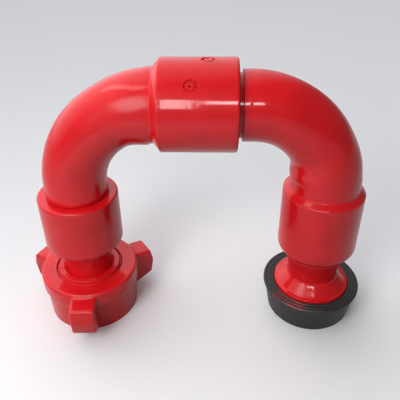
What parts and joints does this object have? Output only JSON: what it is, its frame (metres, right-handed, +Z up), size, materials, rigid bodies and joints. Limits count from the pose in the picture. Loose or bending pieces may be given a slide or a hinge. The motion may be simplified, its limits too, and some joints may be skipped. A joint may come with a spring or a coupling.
{
  "type": "swivel elbow",
  "caption": "Long-radius pipe swivel: elbows joined by ball-race swivels into a U, with a wing nut union on one end and a threaded hub under a rubber protector on the other.",
  "frame": {"origin": "on the inlet leg's axis, at the face of its nose, which is also the level it stands on", "axes": "+Z up along the inlet leg, +X towards the outlet leg, +Y away from the picture's side"},
  "size_m": [0.449, 0.153, 0.3449],
  "materials": {
    "red_paint": "thick gloss enamel over forged steel",
    "black_rubber": "matt moulded rubber with red overspray",
    "bearing_steel": "ground and greased",
    "spring_steel": "oiled",
    "seal_rubber": "smooth nitrile",
    "backup_brass": "turned"
  },
  "bodies": {
    "inlet_sub": {"male_sub": "red_paint", "left_packing_ring": "seal_rubber", "left_backup_ring": "backup_brass", "left_ball_plugs": "red_paint", "left_plug_rings": "spring_steel"},
    "left_elbow": {"left_elbow": "red_paint", "left_dust_seal": "seal_rubber", "left_ball_row_1": "bearing_steel", "left_ball_row_2": "bearing_steel", "left_ball_row_3": "bearing_steel", "centre_packing_ring": "seal_rubber", "centre_backup_ring": "backup_brass", "centre_ball_plugs": "red_paint", "centre_plug_rings": "spring_steel"},
    "right_elbow": {"right_elbow": "red_paint", "centre_dust_seal": "seal_rubber", "centre_ball_row_1": "bearing_steel", "centre_ball_row_2": "bearing_steel", "centre_ball_row_3": "bearing_steel", "right_packing_ring": "seal_rubber", "right_backup_ring": "backup_brass", "right_ball_plugs": "red_paint", "right_plug_rings": "spring_steel"},
    "outlet_sub": {"female_sub": "red_paint", "union_seal_ring": "seal_rubber", "right_dust_seal": "seal_rubber", "right_ball_row_1": "bearing_steel", "right_ball_row_2": "bearing_steel", "right_ball_row_3": "bearing_steel"},
    "thread_protector": {"thread_protector": "black_rubber"},
    "nut_carrier": {"nut_segment_1": "red_paint", "nut_segment_2": "red_paint", "nut_segment_3": "red_paint", "nut_snap_ring": "spring_steel"},
    "wing_nut": {"wing_nut": "red_paint"}
  },
  "joints": [
    {"name": "left_swivel", "type": "hinge", "parent": "inlet_sub", "child": "left_elbow", "pos_m": [0, 0, 0.15], "axis": [0, 0, 1], "continuous": true},
    {"name": "centre_swivel", "type": "hinge", "parent": "left_elbow", "child": "right_elbow", "pos_m": [0.1635, 0, 0.2935], "axis": [1, 0, 0], "continuous": true},
    {"name": "right_swivel", "type": "hinge", "parent": "right_elbow", "child": "outlet_sub", "pos_m": [0.3, 0, 0.13], "axis": [0, 0, 1], "continuous": true},
    {"name": "protector_slide", "type": "slide", "parent": "outlet_sub", "child": "thread_protector", "axis": [0, 0, 1], "range_m": [-0.06, 0]},
    {"name": "nut_slide", "type": "slide", "parent": "inlet_sub", "child": "nut_carrier", "axis": [0, 0, 1], "range_m": [-0.017, 0.028]},
    {"name": "nut_spin", "type": "hinge", "parent": "nut_carrier", "child": "wing_nut", "pos_m": [0, 0, 0.03], "axis": [0, 0, 1], "continuous": true}
  ]
}
